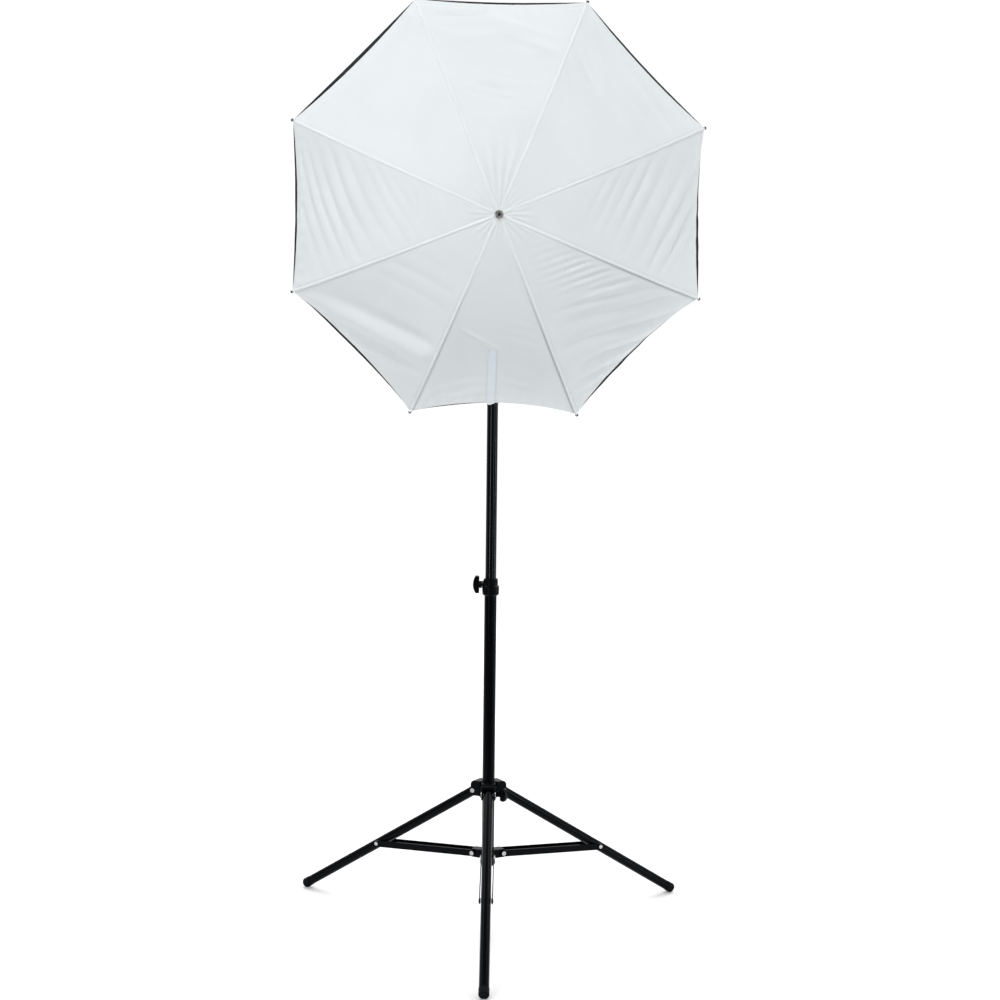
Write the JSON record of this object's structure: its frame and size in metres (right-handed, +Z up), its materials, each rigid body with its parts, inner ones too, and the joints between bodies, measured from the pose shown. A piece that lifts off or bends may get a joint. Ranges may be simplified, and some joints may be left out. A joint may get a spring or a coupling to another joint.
{
  "type": "umbrella reflector on a light stand",
  "caption": "Panelled photographic umbrella on a bracket, carried by a telescoping light stand with folding tripod legs.",
  "frame": {"origin": "on the floor, under the middle of the bounding box", "axes": "+Z up the mast; the white face of the canopy looks along -Y"},
  "size_m": [0.7993, 0.7497, 1.8125],
  "materials": {
    "black_tube": "satin",
    "black_plastic": "matte",
    "black_rubber": "matte",
    "black_casting": "powder coat",
    "rivet_steel": "bright",
    "frame_steel": "plated",
    "spigot_alloy": "satin",
    "ferrule_metal": "satin",
    "white_fabric": "matte",
    "black_fabric": "matte"
  },
  "bodies": {
    "stand": {"base_tube": "black_tube", "lower_collar": "black_plastic", "lower_collar_rivets": "rivet_steel", "base_clamp": "black_plastic"},
    "base_screw": {"base_clamp_knob": "black_plastic"},
    "hub": {"leg_collar": "black_plastic", "leg_collar_rivets": "rivet_steel"},
    "hub_screw": {"leg_collar_knob": "black_plastic"},
    "middle": {"middle_tube": "black_tube", "top_clamp": "black_plastic"},
    "middle_screw": {"top_clamp_knob": "black_plastic"},
    "top": {"top_tube": "black_tube", "spigot": "spigot_alloy"},
    "socket": {"bracket_base": "black_casting"},
    "socket_screw": {"socket_knob": "black_plastic"},
    "head": {"bracket_head": "black_casting"},
    "tilt_screw": {"tilt_knob": "black_plastic"},
    "shaft_screw": {"shaft_knob": "black_plastic"},
    "umbrella": {"shaft": "frame_steel", "shaft_cap": "black_plastic", "crown": "black_plastic", "ferrule": "ferrule_metal", "backing": "black_fabric"},
    "runner": {"runner": "black_plastic"},
    "leg_a": {"leg_a": "black_tube", "foot_a": "black_rubber"},
    "strut_a": {"strut_a": "black_tube", "strut_a_rivet": "rivet_steel"},
    "leg_b": {"leg_b": "black_tube", "foot_b": "black_rubber"},
    "strut_b": {"strut_b": "black_tube", "strut_b_rivet": "rivet_steel"},
    "leg_c": {"leg_c": "black_tube", "foot_c": "black_rubber"},
    "strut_c": {"strut_c": "black_tube", "strut_c_rivet": "rivet_steel"},
    "rib_1": {"rib_1": "frame_steel", "cover_1": "white_fabric"},
    "stretcher_1": {"stretcher_1": "frame_steel"},
    "rib_2": {"rib_2": "frame_steel", "cover_2": "white_fabric"},
    "stretcher_2": {"stretcher_2": "frame_steel"},
    "rib_3": {"rib_3": "frame_steel", "cover_3": "white_fabric"},
    "stretcher_3": {"stretcher_3": "frame_steel"},
    "rib_4": {"rib_4": "frame_steel", "cover_4": "white_fabric"},
    "stretcher_4": {"stretcher_4": "frame_steel"},
    "rib_5": {"rib_5": "frame_steel", "cover_5": "white_fabric"},
    "stretcher_5": {"stretcher_5": "frame_steel"},
    "rib_6": {"rib_6": "frame_steel", "cover_6": "white_fabric"},
    "stretcher_6": {"stretcher_6": "frame_steel"},
    "rib_7": {"rib_7": "frame_steel", "cover_7": "white_fabric"},
    "stretcher_7": {"stretcher_7": "frame_steel"},
    "rib_8": {"rib_8": "frame_steel", "cover_8": "white_fabric"},
    "stretcher_8": {"stretcher_8": "frame_steel"}
  },
  "joints": [
    {"name": "hub_slide", "type": "slide", "parent": "stand", "child": "hub", "axis": [0, 0, 1], "range_m": [0, 0.379]},
    {"name": "leg_a_hinge", "type": "hinge", "parent": "hub", "child": "leg_a", "pos_m": [-0.00028, 0.1103, 0.2738], "axis": [1, -0.0096, 0], "range_deg": [0, 54.44]},
    {"name": "strut_a_hinge", "type": "hinge", "parent": "stand", "child": "strut_a", "pos_m": [-0.00028, 0.1103, 0.143], "axis": [-1, 0.0096, 0], "range_deg": [0, 89.99]},
    {"name": "leg_b_hinge", "type": "hinge", "parent": "hub", "child": "leg_b", "pos_m": [0.02586, 0.1546, 0.2738], "axis": [-0.4917, 0.8708, 0], "range_deg": [0, 54.44]},
    {"name": "strut_b_hinge", "type": "hinge", "parent": "stand", "child": "strut_b", "pos_m": [0.02586, 0.1546, 0.143], "axis": [0.4917, -0.8708, 0], "range_deg": [0, 89.99]},
    {"name": "leg_c_hinge", "type": "hinge", "parent": "hub", "child": "leg_c", "pos_m": [-0.02558, 0.15509, 0.2738], "axis": [-0.5083, -0.8612, 0], "range_deg": [0, 54.44]},
    {"name": "strut_c_hinge", "type": "hinge", "parent": "stand", "child": "strut_c", "pos_m": [-0.02558, 0.15509, 0.143], "axis": [0.5083, 0.8612, 0], "range_deg": [0, 89.99]},
    {"name": "hub_screw_turn", "type": "hinge", "parent": "hub", "child": "hub_screw", "pos_m": [0.02584, 0.12475, 0.2698], "axis": [0.8612, -0.5083, 0], "range_deg": [0, 270]},
    {"name": "base_screw_turn", "type": "hinge", "parent": "stand", "child": "base_screw", "pos_m": [-0.02, 0.14, 0.698], "axis": [-1, 0, 0], "range_deg": [0, 270]},
    {"name": "middle_slide", "type": "slide", "parent": "stand", "child": "middle", "axis": [0, 0, 1], "range_m": [-0.33, 0.15]},
    {"name": "middle_screw_turn", "type": "hinge", "parent": "middle", "child": "middle_screw", "pos_m": [-0.02, 0.14, 1.086], "axis": [-1, 0, 0], "range_deg": [0, 270]},
    {"name": "top_slide", "type": "slide", "parent": "middle", "child": "top", "axis": [0, 0, 1], "range_m": [-0.255, 0.22]},
    {"name": "bracket_pan", "type": "hinge", "parent": "top", "child": "socket", "pos_m": [0, 0.14, 1.385], "axis": [0, 0, 1], "continuous": true},
    {"name": "socket_screw_turn", "type": "hinge", "parent": "socket", "child": "socket_screw", "pos_m": [0.025, 0.14037, 1.38], "axis": [0.9999, 0.0148, 0], "range_deg": [0, 270]},
    {"name": "bracket_tilt", "type": "hinge", "parent": "socket", "child": "head", "pos_m": [0, 0.14, 1.425], "axis": [-0.9999, -0.0148, 0], "range_deg": [-27, 60]},
    {"name": "tilt_screw_turn", "type": "hinge", "parent": "head", "child": "tilt_screw", "pos_m": [0, 0.14, 1.425], "axis": [-0.9999, -0.0148, 0], "range_deg": [0, 270]},
    {"name": "shaft_screw_turn", "type": "hinge", "parent": "head", "child": "shaft_screw", "pos_m": [0.00002, 0.13838, 1.45396], "axis": [0.9999, 0.0148, 0], "range_deg": [0, 270]},
    {"name": "shaft_slide", "type": "slide", "parent": "head", "child": "umbrella", "axis": [0.0148, -0.9983, -0.0558], "range_m": [0, 0.09]},
    {"name": "runner_slide", "type": "slide", "parent": "umbrella", "child": "runner", "axis": [-0.0148, 0.9983, 0.0558], "range_m": [0, 0.2559], "deforming": ["cover_1", "cover_2", "cover_3", "cover_4", "cover_5", "cover_6", "cover_7", "cover_8", "backing"]},
    {"name": "rib_1_hinge", "type": "hinge", "parent": "umbrella", "child": "rib_1", "pos_m": [0.0113, -0.35895, 1.43537], "axis": [-0.9205, -0.0354, 0.3892], "range_deg": [0, 60.58]},
    {"name": "stretcher_1_hinge", "type": "hinge", "parent": "runner", "child": "stretcher_1", "pos_m": [0.00958, -0.21653, 1.44425], "axis": [0.9205, 0.0354, -0.3892], "range_deg": [0, 46.07]},
    {"name": "rib_2_hinge", "type": "hinge", "parent": "umbrella", "child": "rib_2", "pos_m": [0.01667, -0.35856, 1.42992], "axis": [-0.3748, -0.0573, 0.9253], "range_deg": [0, 60.58]},
    {"name": "stretcher_2_hinge", "type": "hinge", "parent": "runner", "child": "stretcher_2", "pos_m": [0.01548, -0.21611, 1.43826], "axis": [0.3748, 0.0573, -0.9253], "range_deg": [0, 46.07]},
    {"name": "rib_3_hinge", "type": "hinge", "parent": "umbrella", "child": "rib_3", "pos_m": [0.0166, -0.35814, 1.42228], "axis": [0.3905, -0.0456, 0.9195], "range_deg": [0, 60.58]},
    {"name": "stretcher_3_hinge", "type": "hinge", "parent": "runner", "child": "stretcher_3", "pos_m": [0.01541, -0.21564, 1.42986], "axis": [-0.3905, 0.0456, -0.9195], "range_deg": [0, 46.07]},
    {"name": "rib_4_hinge", "type": "hinge", "parent": "umbrella", "child": "rib_4", "pos_m": [0.01114, -0.35792, 1.41692], "axis": [0.927, -0.0072, 0.375], "range_deg": [0, 60.58]},
    {"name": "stretcher_4_hinge", "type": "hinge", "parent": "runner", "child": "stretcher_4", "pos_m": [0.00941, -0.2154, 1.42396], "axis": [-0.927, 0.0072, -0.375], "range_deg": [0, 46.07]},
    {"name": "rib_5_hinge", "type": "hinge", "parent": "umbrella", "child": "rib_5", "pos_m": [0.00349, -0.35803, 1.41698], "axis": [0.9205, 0.0354, -0.3892], "range_deg": [0, 60.58]},
    {"name": "stretcher_5_hinge", "type": "hinge", "parent": "runner", "child": "stretcher_5", "pos_m": [0.00099, -0.21553, 1.42402], "axis": [-0.9205, -0.0354, 0.3892], "range_deg": [0, 46.07]},
    {"name": "rib_6_hinge", "type": "hinge", "parent": "umbrella", "child": "rib_6", "pos_m": [-0.00187, -0.35842, 1.42242], "axis": [0.3748, 0.0573, -0.9253], "range_deg": [0, 60.58]},
    {"name": "stretcher_6_hinge", "type": "hinge", "parent": "runner", "child": "stretcher_6", "pos_m": [-0.00492, -0.21595, 1.43001], "axis": [-0.3748, -0.0573, 0.9253], "range_deg": [0, 46.07]},
    {"name": "rib_7_hinge", "type": "hinge", "parent": "umbrella", "child": "rib_7", "pos_m": [-0.00181, -0.35884, 1.43006], "axis": [-0.3905, 0.0456, -0.9195], "range_deg": [0, 60.58]},
    {"name": "stretcher_7_hinge", "type": "hinge", "parent": "runner", "child": "stretcher_7", "pos_m": [-0.00484, -0.21642, 1.43842], "axis": [0.3905, -0.0456, 0.9195], "range_deg": [0, 46.07]},
    {"name": "rib_8_hinge", "type": "hinge", "parent": "umbrella", "child": "rib_8", "pos_m": [0.00365, -0.35906, 1.43543], "axis": [-0.927, 0.0072, -0.375], "range_deg": [0, 60.58]},
    {"name": "stretcher_8_hinge", "type": "hinge", "parent": "runner", "child": "stretcher_8", "pos_m": [0.00116, -0.21666, 1.44432], "axis": [0.927, -0.0072, 0.375], "range_deg": [0, 46.07]}
  ],
  "couplings": [
    {"joint": "leg_a_hinge", "follows": "hub_slide", "rad_per_m": 2.5066},
    {"joint": "strut_a_hinge", "follows": "hub_slide", "rad_per_m": 4.1439},
    {"joint": "leg_b_hinge", "follows": "hub_slide", "rad_per_m": 2.5066},
    {"joint": "strut_b_hinge", "follows": "hub_slide", "rad_per_m": 4.1439},
    {"joint": "leg_c_hinge", "follows": "hub_slide", "rad_per_m": 2.5066},
    {"joint": "strut_c_hinge", "follows": "hub_slide", "rad_per_m": 4.1439},
    {"joint": "rib_1_hinge", "follows": "runner_slide", "rad_per_m": 4.1309},
    {"joint": "stretcher_1_hinge", "follows": "runner_slide", "rad_per_m": 3.1414},
    {"joint": "rib_2_hinge", "follows": "runner_slide", "rad_per_m": 4.1309},
    {"joint": "stretcher_2_hinge", "follows": "runner_slide", "rad_per_m": 3.1414},
    {"joint": "rib_3_hinge", "follows": "runner_slide", "rad_per_m": 4.1309},
    {"joint": "stretcher_3_hinge", "follows": "runner_slide", "rad_per_m": 3.1414},
    {"joint": "rib_4_hinge", "follows": "runner_slide", "rad_per_m": 4.1309},
    {"joint": "stretcher_4_hinge", "follows": "runner_slide", "rad_per_m": 3.1414},
    {"joint": "rib_5_hinge", "follows": "runner_slide", "rad_per_m": 4.1309},
    {"joint": "stretcher_5_hinge", "follows": "runner_slide", "rad_per_m": 3.1414},
    {"joint": "rib_6_hinge", "follows": "runner_slide", "rad_per_m": 4.1309},
    {"joint": "stretcher_6_hinge", "follows": "runner_slide", "rad_per_m": 3.1414},
    {"joint": "rib_7_hinge", "follows": "runner_slide", "rad_per_m": 4.1309},
    {"joint": "stretcher_7_hinge", "follows": "runner_slide", "rad_per_m": 3.1414},
    {"joint": "rib_8_hinge", "follows": "runner_slide", "rad_per_m": 4.1309},
    {"joint": "stretcher_8_hinge", "follows": "runner_slide", "rad_per_m": 3.1414}
  ]
}
